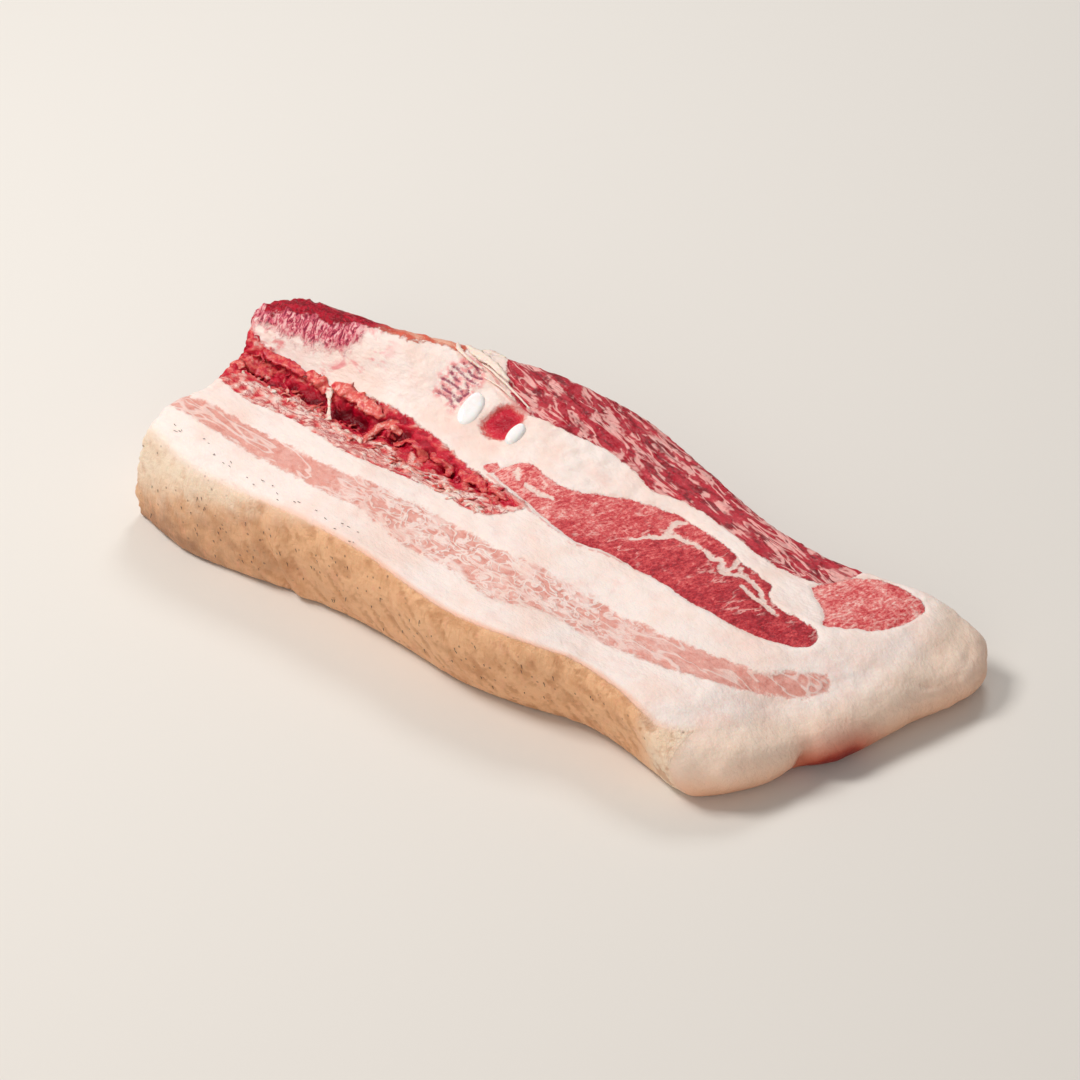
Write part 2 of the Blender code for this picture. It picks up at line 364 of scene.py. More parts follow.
# how far each thing stands out of the flesh or sinks into it, in mm
bulk = dict(
    leanGrain=0.13, fatGrain=0.17, fatSwell=0.34, crumbs=0.26, leanSunk=0.24, leanRim=0.22, bellySunk=0.16,
    ropes=0.34, capRopes=0.26, fibres=0.16, tear=1.0, tearSunk=0.3, slope=0.38, pocket=1.1, cut=0.30,
    marbling=0.18, skin=0.12, cartilageLip=0.12, rindSlack=0.22, rindPitted=0.35, rindSwell=0.55, foldIn=0.9,
    foldOut=0.8, endSwell=0.9, endLumps=0.34, endTurn=0.12, endEdge=0.16, endCrease=0.34, notch=2.0, lobe=0.9,
    cutRim=0.5,
)

endCreases = [(6.4, 1.7, 46.0), (3.0, 0.9, 52.0), (10.5, 2.2, 60.0)]  # height, sway, where in Y it starts


def refineLean(mesh, plan):
    # finer faces wherever lean or a small detail shows on top
    facing = normalsOf(mesh)[:, 2]
    near = np.full(len(plan), -99.0)
    for name in ("middle", "nub", "tip", "torn", "slope", "wrap", "fibres", "pocket"):
        near = np.maximum(near, depthIn(plan[:, :2], layers[name], 2))
    spotX, spotY = meatShape["fineSpot"]
    near = np.maximum(near, meatShape["fineReach"] - np.hypot(plan[:, 0] - spotX, plan[:, 1] - spotY))
    backTop = np.minimum(depthIn(plan[:, :2], layers["back"], 2), (facing - 0.25) * 8.0)
    capTop = np.minimum(depthIn(plan[:, :2], layers["cap"], 2), (facing - 0.1) * 8.0)
    near = np.maximum.reduce([near, backTop, capTop])
    halveFaces(mesh, (near > -meatShape["fineMargin"]) & (facing > -0.2))


def cutRelief(height, plan, depth):
    # cut muscle stands in small bundles, fat is waxy with long soft swells
    x, y, _ = plan.T
    lean = smooth(-0.3, 0.5, np.maximum.reduce([depth["belly"] - 0.3, depth["rose"], depth["back"]]))
    fat = 1.0 - lean
    height += lean * bulk["leanGrain"] * sample(plan * (1.0, 0.45, 1.0), 1.5, roughNoise, 7.0)
    height += fat * (bulk["fatGrain"] * sample(plan * (0.8, 1.0, 1.0), 3.4, roughNoise, 9.0)
                     + bulk["fatSwell"] * sample(plan * (0.6, 1.0, 1.0), 8.0, softNoise, 13.0))
    crumbly = smooth(58.0, 66.0, x) * smooth(96.0, 84.0, x) * smooth(49.0, 52.0, y) * smooth(62.0, 59.0, y)
    height += crumbly * fat * bulk["crumbs"] * sample(plan, 2.0, roughNoise, 15.0)
    height -= bulk["leanSunk"] * smooth(-0.4, 0.5, np.maximum(depth["rose"], depth["back"]))
    height -= bulk["leanRim"] * np.exp(-(np.abs(depth["rose"]) / 0.6) ** 2)
    height -= bulk["bellySunk"] * smooth(-0.5, 0.6, depth["belly"])

    # the muscle on the rib side runs in long ropes, the fibres in fine threads
    ropes = sample(plan * (0.26, 1.0, 1.0), 2.4, crestNoise, 17.0)
    height += smooth(-0.4, 0.8, depth["back"]) * bulk["ropes"] * ropes
    capRopes = sample(plan * (0.5, 1.0, 1.0), 2.2, crestNoise, 19.0)
    height += smooth(-0.4, 0.8, depth["cap"]) * bulk["capRopes"] * capRopes
    threads = sample(plan * (1.0, 0.28, 0.6), 0.9, softNoise, 23.0)
    height += smooth(-0.6, 0.8, depth["fibres"]) * bulk["fibres"] * threads


def tornRelief(height, plan, depth, up, crumple):
    # the tear, crumpled where the flesh was pulled apart, with deep holes
    x, y, _ = plan.T
    inTear = smooth(-0.6, 1.4, depth["torn"]) * up
    height += inTear * (bulk["tear"] * crumple - bulk["tearSunk"])
    height += smooth(-0.5, 0.8, depth["slope"]) * (1.0 - inTear) * up * bulk["slope"] * crumple
    for holeX, holeY, half, extra in deepHoles:
        away = np.hypot((x - holeX) / half, (y - holeY) / 1.7)
        height -= up * extra * np.exp(-away ** 2 * 1.2)
    height -= up * smooth(-0.6, 1.0, depth["pocket"]) * bulk["pocket"]
    height -= up * smooth(-0.25, 0.15, depth["cut"]) * bulk["cut"]
    height -= bulk["marbling"] * smooth(-0.3, 0.4, depth["marble"]) * smooth(-0.2, 0.4, depth["rose"])
    height += up * bulk["skin"] * smooth(-0.3, 0.1, depth["skin"])


def cartilageLips(height, plan, up):
    # flesh swells in a low lip round each cartilage
    for name in ("cartilage_large", "cartilage_small"):
        low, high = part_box(name)
        middle = toPlan(np.array((low + high) / 2))
        halves = (np.array(high - low) / 2 / mm)[:2]
        away = np.hypot((plan[:, 0] - middle[0]) / halves[0], (plan[:, 1] - middle[1]) / halves[1])
        away = (away - 1.0) * halves.min()
        height += up * bulk["cartilageLip"] * np.exp(-((away - 1.6) / 0.7) ** 2)


def rindRelief(height, plan, rind):
    # slack wrinkles that run down and to the right, and one deep fold; gives back the wrinkles
    x, y, z = plan.T
    slack = sample(np.stack([x + z * 0.7, y, z * 0.28], 1), 1.7, roughNoise, 41.0)
    slack = slack * (0.25 + 0.75 * smooth(28.0, 42.0, x)) + bulk["rindPitted"] * sample(plan, 2.4, roughNoise, 42.0)
    height += rind * (bulk["rindSlack"] * slack + bulk["rindSwell"] * sample(plan, 13.0, softNoise, 43.0))
    foldAt = 33.0 + (24.0 - z) * 0.34
    height -= rind * bulk["foldIn"] * np.exp(-((x - foldAt) / 1.6) ** 2) * smooth(25.0, 12.0, z)
    height += rind * bulk["foldOut"] * np.exp(-((x - foldAt - 3.8) / 2.2) ** 2) * smooth(25.0, 14.0, z)
    return slack


def endRelief(height, plan, up):
    # lumps of fat, a crease where the top turns down, and a notch between two lobes; gives back the end
    _, y, z = plan.T
    turned = distanceTo(plan[:, :2], curveThrough(endLine, 4, False))
    beyond = depthIn(plan[:, :2], endLine + endBeyond, 3)
    end = smooth(-1.0, 7.0, beyond)
    height += end * (bulk["endSwell"] * sample(plan, 11.0, softNoise, 47.0)
                     + bulk["endLumps"] * sample(plan, 4.6, softNoise, 53.0))
    height -= up * bulk["endTurn"] * np.exp(-(turned / 1.3) ** 2) * smooth(10.0, 22.0, y)
    height += up * bulk["endEdge"] * np.exp(-((beyond - 3.0) / 2.6) ** 2)
    broken = smooth(-0.25, 0.25, sample(plan, 5.0, softNoise, 55.0))
    ragged = 0.8 * sample(plan, 4.0, softNoise, 57.0)
    for level, sway, start in endCreases:
        crease = np.abs(z - level - sway * np.sin(y / 6.0) - ragged)
        height -= end * bulk["endCrease"] * np.exp(-(crease / 0.5) ** 2) * smooth(start - 6.0, start, y) * broken
    notch = np.hypot((y - 28.5 - z * 0.5) / 1.1, np.maximum(z - 3.0, 0.0) / 3.0)
    height -= end * bulk["notch"] * np.exp(-(notch / 1.5) ** 2)
    height += end * bulk["lobe"] * np.exp(-(np.hypot(y - 12.0, (z - 9.0) * 1.2) / 8.0) ** 2)
    return end


def makeMeat(material):
    mesh = solidMeat()
    coords = ease(coordsOf(mesh), edgesOf(mesh), meatShape["easing"])
    setCoords(mesh, coords)
    refineLean(mesh, toPlan(coords))
    coords = ease(coordsOf(mesh), edgesOf(mesh), 2)
    setCoords(mesh, coords)
    tree = treeOf(coords, mesh)
    plan = toPlan(coords)
    normals = normalsOf(mesh)
    print("meat:", len(mesh.vertices), "vertices", sum(len(p.vertices) - 2 for p in mesh.polygons), "triangles")

    # the layers wander a little, and shift with height as they run through the strip
    wander = meatShape["wander"] * np.stack([sample(plan, 9.0, softNoise, seed) for seed in (3.0, 31.0)], 1)
    wander += meatShape["wanderFine"] * np.stack([sample(plan, 2.8, softNoise, seed) for seed in (5.0, 51.0)], 1)
    depth = layerDepths(plan[:, :2] + wander)
    rindReach = np.minimum(rindShape["thick"] - rindDepth(tree, plan), rindShape["ends"] - plan[:, 0])
    for name in depth:
        depth[name] = np.minimum(depth[name], -rindReach)

    x, y, z = plan.T
    up = smooth(0.2, 0.8, normals[:, 2])
    rind = smooth(-0.2, 0.6, rindReach)
    crumple = sample(plan * (0.7, 1.0, 1.0), 3.2, crestNoise, 29.0) * 0.7 + sample(plan, 1.5, roughNoise, 37.0) * 0.5
    height = np.zeros(len(plan))
    cutRelief(height, plan, depth)
    tornRelief(height, plan, depth, up, crumple)
    cartilageLips(height, plan, up)
    slack = rindRelief(height, plan, rind)
    end = endRelief(height, plan, up)
    ragged = smooth(4.0, 0.0, x) * smooth(0.6, -0.2, normals[:, 0])
    height += ragged * bulk["cutRim"] * sample(plan, 2.4, crestNoise, 59.0)
    # the underside is pressed flat, so its relief is slight
    height *= meatShape["relief"] * (1.0 - 0.9 * smooth(-0.3, -0.9, normals[:, 2]))
    coords = insideBox(coords + normals * (height * mm)[:, None])
    setCoords(mesh, coords)

    # what the material reads at each vertex: depths into the layers, then tints
    tints = dict(
        # painted light and shade on the torn lean: paler on the crumple's crests, darker in its folds
        pulled=np.clip(0.5 + 0.5 * crumple, 0.0, 1.0) * up,
        pale=smooth(2.2, -1.6, depth["torn"]) * (0.45 + 0.55 * smooth(-2.0, 10.0, x + 0.5 * (30.0 - y))),
        # painted shade where the surface turns away from facing up
        edge_on=smooth(0.86, 0.45, normals[:, 2]),
        blush=np.exp(-(np.hypot((y - 37.5) * 0.9, (z - 1.5) * 1.25) / 8.0) ** 2) * end,
        # painted shade: how far the surface sinks, darkest in the holes
        hollow=np.clip(-height, 0.0, 3.0) * up,
        round_end=end,
        net=smooth(36.0, 54.0, x) * smooth(132.0, 102.0, x),
        crest=smooth(16.0, 23.0, x) * smooth(0.15, 0.55, normals[:, 2]),
        deepened=(smooth(64.0, 126.0, x + 0.6 * (48.0 - y))
                  * (1.0 - smooth(126.0, 134.0, x) * smooth(50.0, 55.0, y))),
        # grey-brown blotches and painted shade, low on the rind towards the cut end
        dusky=smooth(22.0, 4.0, z) * smooth(64.0, 16.0, x),
        # cream along the rind's top and right end: partly its own cream, partly a painted highlight
        creamy=np.maximum(smooth(84.0, 14.0, x + (24.0 - z) * 3.2), 0.8 * smooth(126.0, 140.0, x)),
        # painted shade in the valleys of the rind's wrinkles
        crinkle=slack * rind,
        rind_reach=rindReach,
    )
    keep(mesh, lean_belly=depth["belly"], lean_rose=depth["rose"], lean_back=depth["back"], lean_cap=depth["cap"],
         lean_wet=depth["wet"], lean_pocket=depth["pocket"], lean_fibres=depth["fibres"], marble=depth["marble"],
         skin_line=depth["skin"], cut_line=depth["cut"], **tints)
    return newPiece("raw_belly", mesh, material), treeOf(coords, mesh)


def linear(colour):
    # sRGB hex to the linear colour that the shader works in
    parts = [int(colour[i:i + 2], 16) / 255 for i in (1, 3, 5)]
    return tuple(c / 12.92 if c <= 0.04045 else ((c + 0.055) / 1.055) ** 2.4 for c in parts) + (1.0,)


def addNode(tree, kind, settings=None, out=None, **inputs):
    # adds a node, sets it, links or fills its inputs by name or number, and hands back an output
    made = tree.nodes.new("ShaderNode" + kind)
    for key, value in (settings or {}).items():
        setattr(made, key, value)
    for key, value in inputs.items():
        at = int(key[2:]) if key.startswith("in") and key[2:].isdigit() else key.replace("_", " ")
        if isinstance(value, bpy.types.NodeSocket):
            tree.links.new(value, made.inputs[at])
        else:
            made.inputs[at].default_value = value
    return made.outputs[out] if out else next(socket for socket in made.outputs if socket.enabled)


def startMaterial(name, **surface):
    material = bpy.data.materials.new(name)
    material.use_nodes = True
    shader = material.node_tree.nodes["Principled BSDF"]
    for key, value in surface.items():
        shader.inputs[key.replace("_", " ")].default_value = value
    return material, material.node_tree, shader


times = {"operation": "MULTIPLY"}
less = {"operation": "SUBTRACT"}
larger = {"operation": "MAXIMUM"}
timesPlus = {"operation": "MULTIPLY_ADD"}
size3 = {"operation": "SCALE"}
blend = {"data_type": "RGBA"}
eased = {"interpolation_type": "SMOOTHSTEP"}


def grainTools(tree, look):
    # the building blocks that the meat's patterns share, all in mm of the plan
    def add(kind, settings=None, out=None, **inputs):
        return addNode(tree, kind, settings, out, **inputs)

    def amount(name):
        return add("Attribute", {"attribute_name": name}, "Fac")

    place = add("VectorMath", less, in0=add("TexCoord", None, "Object"), in1=tuple(corner))
    place = add("VectorMath", size3, in0=place, Scale=1.0 / mm)

    def grain(size, detail=3.0, rough=0.55, stretch=(1, 1, 1), spin=0.0, warp=0.0):
        # noise with features about size mm across, stretched along an axis and turned about Z
        at = add("Mapping", None, Vector=place, Rotation=(0.0, 0.0, math.radians(spin)))
        at = add("Mapping", None, Vector=at, Scale=stretch)
        return add("TexNoise", None, Vector=at, Scale=1.0 / size, Detail=detail, Roughness=rough, Distortion=warp)

    def patches(size, low, high, **pattern):
        # the same noise as soft-edged patches between two levels
        return add("MapRange", eased, Value=grain(size, **pattern), From_Min=low, From_Max=high)

    def squiggles(size, width, **pattern):
        # thin wandering lines: where the noise passes through its middle
        off = add("Math", {"operation": "ABSOLUTE"}, in0=add("Math", less, in0=grain(size, **pattern), in1=0.5))
        return add("MapRange", eased, Value=off, From_Min=width, From_Max=width * 0.25)

    def frayed(name, ragged, soft, fine):
        # a layer's mask, its border frayed by noise of the given size in mm
        off = add("Math", less, in0=grain(fine, 4.0, 0.65), in1=0.5)
        edge = add("Math", timesPlus, in0=off, in1=ragged * 2.0, in2=amount(name))
        return add("MapRange", eased, Value=edge, From_Min=-soft, From_Max=soft)

    def shades(value, first, *others):
        # walks a value through colours, each taking over between its two levels
        colour = look[first]
        for name, low, high in others:
            share = add("MapRange", eased, Value=value, From_Min=low, From_Max=high)
            colour = add("Mix", blend, in0=share, in6=colour, in7=look[name])
        return colour

    def coats(colour, *layersOver):
        # lays colours over a first one, each by its mask and share
        for mask, share, over in layersOver:
            if share != 1.0:
                mask = add("Math", times, in0=mask, in1=share)
            colour = add("Mix", blend, in0=mask, in6=colour, in7=look[over] if isinstance(over, str) else over)
        return colour

    def weighed(total, *parts):
        # adds values to a start, each times its weight
        for value, weight in parts:
            total = add("Math", timesPlus, in0=value, in1=weight, in2=total)
        return total

    return add, amount, place, grain, patches, squiggles, frayed, shades, coats, weighed


bellyLook = dict(
    fatBright="#FBEBE4", fatWarm="#F8DFD4", fatPink="#F4CAC1", fatEnd="#FBDFC8", fatLow="#DF9E72",
    skinPink="#E09A94", veinPink="#F4C6BC",
    salmonDeep="#D98D80", salmonMiddle="#E6A396", salmonPale="#F1C2B5",
    roseDeep="#B41E2E", roseMiddle="#D6484C", roseLight="#EC8480", rosePale="#FFCEC4", roseDark="#920C1C",
    backDeep="#800416", backMiddle="#BA182E", backLight="#DC4450", backPale="#FFC6BE",
    capDeep="#880018", capMiddle="#BE0028", capPale="#E04258", crestOrange="#E0664E", crestPale="#F2B49A",
    wetHole="#7C0016", wetDeep="#B00024", wetMiddle="#D41E38", wetLight="#E66460", wetPale="#F2ACA2",
    wetWhite="#FBDCD2",
    fibreDeep="#8C0C38", fibreMiddle="#DA5A70", fibrePale="#F8BEBE", cutLine="#8E2450", smudge="#EE9E9E",
    rindTan="#F3BF93", rindBrown="#E0A77A", rindCream="#FBE6CE", rindRose="#EDAD8A", rindPore="#8C6A55",
    rindShade="#C08458", rindDusky="#A87A5C", blush="#C2563C", blushDeep="#861E12",
)


def rawBelly():
    # Raw pork belly, knife cut and moist: waxy fat that light sinks into, lean that glints in
    # small points where it was cut, and a dull, close-pored rind that was scalded and scraped.
    look = {key: linear(value) for key, value in bellyLook.items()}
    material, tree, shader = startMaterial("raw_belly_knife_cut", IOR=1.40, Subsurface_Weight=0.14,
                                           Subsurface_Scale=0.0016, Specular_IOR_Level=0.40)
    shader.inputs["Subsurface Radius"].default_value = (1.0, 0.40, 0.28)
    add, amount, place, grain, patches, squiggles, frayed, shades, coats, weighed = grainTools(tree, look)

    # fat: nearly white, warmer and pinker in broad clouds, with a few faint veins
    turned = amount("round_end")
    # painted shade: the rounded end goes tan towards the bottom, from 12 mm up down to 1 mm
    lowShade = add("MapRange", eased, Value=add("SeparateXYZ", None, "Z", Vector=place), From_Min=12.0, From_Max=1.0)
    nearFibres = add("MapRange", eased, Value=amount("lean_fibres"), From_Min=-11.0, From_Max=-3.0)
    smudged = patches(3.4, 0.52, 0.66, detail=5.0, stretch=(0.6, 1.0, 1.0), warp=0.6)
    colour = coats(
        shades(grain(13.0), "fatBright", ("fatWarm", 0.40, 0.66)),
        (patches(6.0, 0.50, 0.78, detail=4.0), 0.42, "fatPink"),
        (squiggles(9.0, 0.018, stretch=(0.5, 1.0, 1.0), detail=4.0), 0.10, "veinPink"),
        # the rounded end turns warmer and darker cream: partly the fat's own tone, partly painted shade on the faces
        # turned from the light
        (turned, 0.7, "fatEnd"),
        (add("Math", times, in0=lowShade, in1=turned), 0.75, "fatLow"),
        (add("MapRange", None, Value=amount("blush"), From_Min=0.10, From_Max=0.72), 1.0,
         shades(amount("blush"), "blush", ("blushDeep", 0.50, 0.90))),
        (add("Math", times, in0=smudged, in1=nearFibres), 1.0, "smudge"))

    # belly streak: salmon lean, solid at the cut end, then broken into a net of blobs about 3 mm across
    salmon = shades(grain(1.3, 4.0, 0.65, (0.8, 1.0, 1.0)), "salmonDeep", ("salmonMiddle", 0.32, 0.52),
                    ("salmonPale", 0.54, 0.74))
    paleRuns = squiggles(4.2, 0.050, stretch=(0.30, 1.0, 1.0), detail=2.0, warp=0.5)
    netLines = squiggles(2.7, 0.075, stretch=(0.75, 1.0, 1.0), detail=2.0, warp=0.9)
    gaps = patches(3.2, 0.34, 0.54, detail=2.5, stretch=(0.6, 1.0, 1.0))
    net = amount("net")
    broken = add("Math", larger, in0=add("Math", times, in0=netLines, in1=net),
                 in1=add("Math", times, in0=paleRuns, in1=0.75))
    solid = add("MapRange", None, Value=net, To_Min=0.10, To_Max=0.55)
    gaps = weighed(1.0, (add("Math", less, in0=gaps, in1=1.0), solid))
    streak = add("Math", times, in0=frayed("lean_belly", 1.7, 0.55, 1.8), in1=gaps)
    streak = add("Math", times, in0=streak, in1=add("MapRange", None, Value=broken, To_Min=1.0, To_Max=0.22))
    colour = coats(colour, (streak, 1.0, salmon))

    # rose muscle: grain lines about 0.9 mm apart across the strip, deeper towards the rounded end
    grit = grain(0.55, 3.0, 0.7, (1.0, 0.7, 1.0), 14.0)
    lines = weighed(0.0, (grain(0.95, 4.0, 0.78, (1.0, 0.42, 0.6), 14.0, 0.5), 0.55), (grit, 0.52))
    deepened = weighed(-0.175, (lines, 1.0), (amount("deepened"), -0.17), (grain(6.0, 3.0), 0.35))
    rose = shades(deepened, "roseDark", ("roseDeep", 0.25, 0.34), ("roseMiddle", 0.35, 0.44),
                  ("roseLight", 0.46, 0.54), ("rosePale", 0.55, 0.66))
    wisps = add("Math", times, in0=squiggles(3.4, 0.030, stretch=(1.0, 0.32, 0.6), spin=12.0, detail=4.0),
                in1=patches(5.0, 0.48, 0.62))
    rose = coats(rose, (wisps, 0.6, "rosePale"), (frayed("marble", 1.1, 0.25, 1.3), 0.92, "fatWarm"))
    roseMask = frayed("lean_rose", 0.60, 0.18, 0.8)

    # rib side muscle: deep red ropes with long pale streaks between them; the streaks and flecks are partly the
    # muscle's own pale streaks and partly painted wet glints
    rope = weighed(0.0, (grain(1.6, 4.0, 0.65, (0.24, 1.0, 1.0), 3.0, 0.5), 0.72), (grit, 0.28))
    longRuns = squiggles(3.0, 0.070, stretch=(0.20, 1.0, 1.0), spin=8.0, detail=3.0, warp=0.8)
    flecksAndGlints = patches(1.5, 0.62, 0.69, detail=3.0, stretch=(0.30, 1.0, 1.0), spin=-16.0, warp=0.9)
    pale = add("Math", larger, in0=add("Math", times, in0=longRuns, in1=patches(5.0, 0.42, 0.50)), in1=flecksAndGlints)
    # painted shade: the rib side muscle goes deep red where its surface turns away from facing up
    deep = coats(shades(rope, "backDeep", ("backMiddle", 0.40, 0.52), ("backLight", 0.56, 0.66)),
                 (amount("edge_on"), 0.55, "backDeep"), (pale, 0.74, "backPale"))
    backMask = frayed("lean_back", 0.9, 0.22, 1.2)

    # purple pink fibres 0.5 mm thick under the cap, drawn 0.75 mm to show
    thread = grain(0.75, 4.0, 0.70, (1.0, 0.34, 0.5), -18.0, 0.9)
    fibre = shades(thread, "fibreDeep", ("fibreMiddle", 0.42, 0.48), ("fibrePale", 0.50, 0.58))
    fibreMask = frayed("lean_fibres", 3.2, 1.3, 2.0)

    # crimson cap, wet and wrinkled, orange along its thin crest
    wetGrain = grain(1.5, 5.0, 0.68, (0.6, 1.0, 1.0), 0.0, 0.5)
    orange = shades(grain(1.8, 4.0, 0.6, (0.4, 1.0, 1.0)), "crestOrange", ("crestPale", 0.42, 0.64))
    cap = coats(shades(wetGrain, "capDeep", ("capMiddle", 0.34, 0.52), ("capPale", 0.58, 0.74)),
                (squiggles(1.8, 0.05, stretch=(0.6, 1.0, 1.0), detail=4.0, warp=0.8), 1.0, "capDeep"),
                (amount("crest"), 1.0, orange))
    capMask = frayed("lean_cap", 2.6, 0.45, 1.6)

    # torn lean: painted shade darkens the hollows and the low parts of the crumple, red on the folds with painted
    # glints paler on their crests, pale pink and stringy on the lower slope
    tornTone = weighed(0.0, (wetGrain, 0.62), (amount("pulled"), 0.55), (amount("pale"), 0.36),
                       (amount("hollow"), -0.26))
    wet = shades(tornTone, "wetHole", ("wetDeep", 0.16, 0.30), ("wetMiddle", 0.40, 0.56), ("wetLight", 0.62, 0.74),
                 ("wetPale", 0.76, 0.86), ("wetWhite", 0.88, 1.02))
    cracks = add("Math", times, in0=squiggles(2.2, 0.045, stretch=(0.6, 1.0, 1.0), detail=5.0, warp=0.8),
                 in1=amount("pale"))
    wet = coats(wet, (cracks, 0.7, "wetDeep"))
    wetMask = frayed("lean_wet", 1.1, 0.3, 1.4)
    inPocket = weighed(0.0, (amount("lean_pocket"), 1.0), (wetGrain, 3.0))
    pocket = shades(inPocket, "wetLight", ("wetMiddle", 1.7, 2.8), ("wetDeep", 3.0, 4.6))
    pocketMask = frayed("lean_pocket", 1.4, 0.7, 1.1)

    # pale skins beside the muscle, the dark cuts by the large cartilage, a rosy line where the rind begins
    reach, creamEdgeAndHighlight = amount("rind_reach"), amount("creamy")
    nearCuts = add("Math", times, in0=add("MapRange", eased, Value=amount("cut_line"), From_Min=-1.8, From_Max=-0.2),
                   in1=patches(1.3, 0.40, 0.60, detail=4.0))
    rosy = add("Math", times, in0=add("MapRange", eased, Value=reach, From_Min=-1.6, From_Max=0.0),
               in1=add("Math", less, in0=1.0, in1=creamEdgeAndHighlight))
    colour = coats(
        colour, (roseMask, 1.0, rose), (backMask, 1.0, deep), (fibreMask, 1.0, fibre), (capMask, 1.0, cap),
        (wetMask, 1.0, wet), (pocketMask, 1.0, pocket), (frayed("skin_line", 0.22, 0.18, 1.5), 0.75, "skinPink"),
        (nearCuts, 1.0, "smudge"), (frayed("cut_line", 0.7, 0.22, 1.0), 0.85, "cutLine"), (rosy, 0.75, "rindRose"))

    # rind: tan, with grey-brown blotches low at the cut end deepened towards the bottom by painted shade; cream at
    # its edges, partly its own cream and partly a painted highlight along its top and right end; painted shade in its
    # wrinkle valleys; pores 0.3 mm wide, 1.9 mm apart
    creamy = weighed(-0.45, (creamEdgeAndHighlight, 1.0), (grain(5.0, 5.0, 0.65), 0.9))
    pore = add("TexVoronoi", {"feature": "F1"}, Vector=place, Scale=1.0 / 1.9, Randomness=1.0)
    pore = add("MapRange", eased, Value=pore, From_Min=0.20, From_Max=0.08)
    # grey-brown blotches with painted shade, darker towards the bottom near the cut end
    duskAndShade = add("Math", times, in0=amount("dusky"), in1=patches(6.0, 0.20, 0.75, detail=5.0, rough=0.6))
    tan = coats(
        shades(grain(5.0, 4.0, 0.62), "rindTan", ("rindBrown", 0.42, 0.72)),
        (duskAndShade, 1.0, "rindDusky"),
        (patches(2.4, 0.52, 0.80, detail=5.0, rough=0.7, stretch=(1.0, 1.0, 0.5)), 1.0, "rindRose"),
        # cream partly the rind's own, partly a painted highlight on its upper edge
        (add("MapRange", eased, Value=creamy, From_Min=0.10, From_Max=0.95), 0.92, "rindCream"),
        # painted shade in the wrinkle valleys
        (add("MapRange", eased, Value=amount("crinkle"), From_Min=0.10, From_Max=-0.55), 0.55, "rindShade"),
        (add("Math", times, in0=pore, in1=patches(4.0, 0.42, 0.56)), 0.75, "rindPore"))
    rindMask = add("Mix", {"data_type": "FLOAT"}, in0=creamEdgeAndHighlight, in2=frayed("rind_reach", 0.35, 0.22, 1.5),
                   in3=frayed("rind_reach", 0.8, 1.7, 2.0))
    tree.links.new(coats(colour, (rindMask, 1.0, tan)), shader.inputs["Base Color"])

    # gloss: torn lean is wettest, cut lean is moist, rind is dull
    lean = add("Math", larger, in0=roseMask, in1=add("Math", larger, in0=backMask, in1=capMask))
    drench = add("Math", larger, in0=wetMask, in1=pocketMask)
    gloss = weighed(0.32, (lean, -0.14), (drench, -0.20), (grain(2.0, 3.0), 0.24), (rindMask, 0.08))
    tree.links.new(gloss, shader.inputs["Roughness"])

    # relief finer than the mesh: cut grain, ropes, torn strings, threads, rind wrinkles, rippled fat
    wrinkled = add("Math", times, in0=add("Math", larger, in0=drench, in1=capMask), in1=1.6)
    relief = weighed(
        0.0, (lines, roseMask), (rope, backMask), (wetGrain, wrinkled), (thread, fibreMask),
        (grain(0.8, 4.0, 0.66, (1.0, 1.0, 0.34)), add("Math", times, in0=rindMask, in1=1.5)),
        (grain(2.6, 5.0, 0.62, (0.7, 1.0, 1.0)), 1.25), (grain(1.2, 4.0, 0.6, (0.5, 1.0, 1.0)), 0.45), (streak, -0.3))
    tree.links.new(add("Bump", None, Strength=0.75, Distance=0.0005, Height=relief), shader.inputs["Normal"])
    return material


cartilageLook = dict(white="#FFFFFF", shade="#FAF8F5", rim="#F0E2D9")


def wetCartilage():
    # Rib cartilage, cut across and wet: milky white, nearly smooth, with a clear gloss.
    look = {key: linear(value) for key, value in cartilageLook.items()}
    material, tree, shader = startMaterial("rib_cartilage_cut", IOR=1.45, Roughness=0.12, Subsurface_Weight=0.20,
                                           Subsurface_Scale=0.0012)
    add, amount, place, grain, patches, squiggles, frayed, shades, coats, weighed = grainTools(tree, look)
    colour = coats(shades(grain(2.2), "white", ("shade", 0.42, 0.66)), (amount("rim"), 1.0, "rim"))
    tree.links.new(colour, shader.inputs["Base Color"])
    tree.links.new(add("Bump", None, Strength=0.12, Distance=0.0003, Height=grain(1.4)), shader.inputs["Normal"])
    return material


shredLook = dict(deep="#A8082A", red="#CC2A3C", salmon="#E4655C", pink="#F3A89C", cream="#FBE2D4")


def tornShred():
    # Pulled muscle and skin: thin, wet and half clear, redder where it is thick.
    look = {key: linear(value) for key, value in shredLook.items()}
    material, tree, shader = startMaterial("torn_flesh_pulled", IOR=1.40, Roughness=0.30, Subsurface_Weight=0.22,
                                           Subsurface_Scale=0.0015, Specular_IOR_Level=0.40)
    add, amount, place, grain, patches, squiggles, frayed, shades, coats, weighed = grainTools(tree, look)
    tone = weighed(-0.65, (amount("tone"), 1.0), (grain(1.1, 4.0, 0.65), 1.3))
    colour = shades(tone, "deep", ("red", 0.05, 0.22), ("salmon", 0.28, 0.45), ("pink", 0.50, 0.66),
                    ("cream", 0.72, 0.88))
    tree.links.new(colour, shader.inputs["Base Color"])
    tree.links.new(add("Bump", None, Strength=0.4, Distance=0.0004, Height=grain(0.9, 4.0)), shader.inputs["Normal"])
    return material


